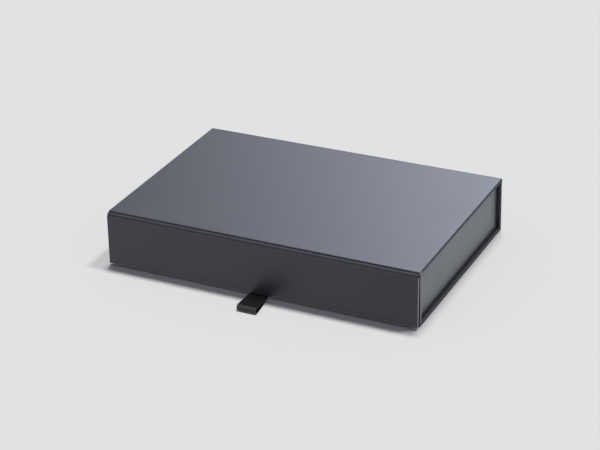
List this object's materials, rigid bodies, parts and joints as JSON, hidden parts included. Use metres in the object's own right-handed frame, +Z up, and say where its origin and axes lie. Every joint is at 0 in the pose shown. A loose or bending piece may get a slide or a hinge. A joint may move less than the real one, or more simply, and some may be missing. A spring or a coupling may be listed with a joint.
{
  "type": "hinged-lid gift box",
  "caption": "Flat book-style rigid gift box in dark paper: lid hinged at the spine, front flap that closes on magnets, ribbon pull, and a tray with set-in side walls.",
  "frame": {"origin": "centre of the base's underside, half way between the front wall's outer face and the spine's outer face, and half way along the box", "axes": "+X along the long side to the right as seen from the flap, +Y from the flap towards the spine, +Z up"},
  "size_m": [0.24, 0.1847, 0.042],
  "materials": {
    "greyboard": "matt pressed grey board",
    "cover_paper": "charcoal paper with a satin laminate",
    "liner_paper": "matt black paper",
    "tab_paper": "matt black card",
    "magnet": "plain nickel plating",
    "plate_steel": "plain tinned steel",
    "ribbon_satin": "black double-faced satin ribbon"
  },
  "bodies": {
    "tray": {"base_board": "greyboard", "base_wrap": "cover_paper", "base_liner": "liner_paper", "front_wall_board": "greyboard", "front_wall_wrap": "cover_paper", "front_wall_liner": "liner_paper", "spine_board": "greyboard", "spine_wrap": "cover_paper", "spine_liner": "liner_paper", "side_board_left": "greyboard", "side_wrap_left": "cover_paper", "side_liner_left": "liner_paper", "side_board_right": "greyboard", "side_wrap_right": "cover_paper", "side_liner_right": "liner_paper", "corner_tab_front_left": "tab_paper", "corner_tab_front_right": "tab_paper", "corner_tab_rear_left": "tab_paper", "corner_tab_rear_right": "tab_paper", "strike_plate_left": "plate_steel", "strike_plate_right": "plate_steel"},
    "lid": {"lid_board": "greyboard", "lid_wrap": "cover_paper", "lid_liner": "liner_paper", "rear_crease_wrap": "cover_paper", "rear_crease_liner": "liner_paper", "front_crease_wrap": "cover_paper", "front_crease_liner": "liner_paper"},
    "flap": {"flap_board": "greyboard", "flap_wrap": "cover_paper", "flap_liner": "liner_paper", "flap_magnet_left": "magnet", "flap_magnet_right": "magnet", "ribbon_tail": "ribbon_satin"},
    "ribbon": {"ribbon_loop": "ribbon_satin"}
  },
  "joints": [
    {"name": "lid_hinge", "type": "hinge", "parent": "tray", "child": "lid", "pos_m": [0, 0.0775, 0.0415], "axis": [-1, 0, 0], "range_deg": [0, 195], "deforming": ["rear_crease_wrap", "rear_crease_liner"]},
    {"name": "flap_hinge", "type": "hinge", "parent": "lid", "child": "flap", "pos_m": [0, -0.0807, 0.04075], "axis": [-1, 0, 0], "range_deg": [-2.5, 180], "deforming": ["front_crease_wrap", "front_crease_liner"]},
    {"name": "ribbon_bend", "type": "hinge", "parent": "flap", "child": "ribbon", "pos_m": [0, -0.08383, 0.00114], "axis": [-1, 0, 0], "range_deg": [-90, 80]}
  ]
}
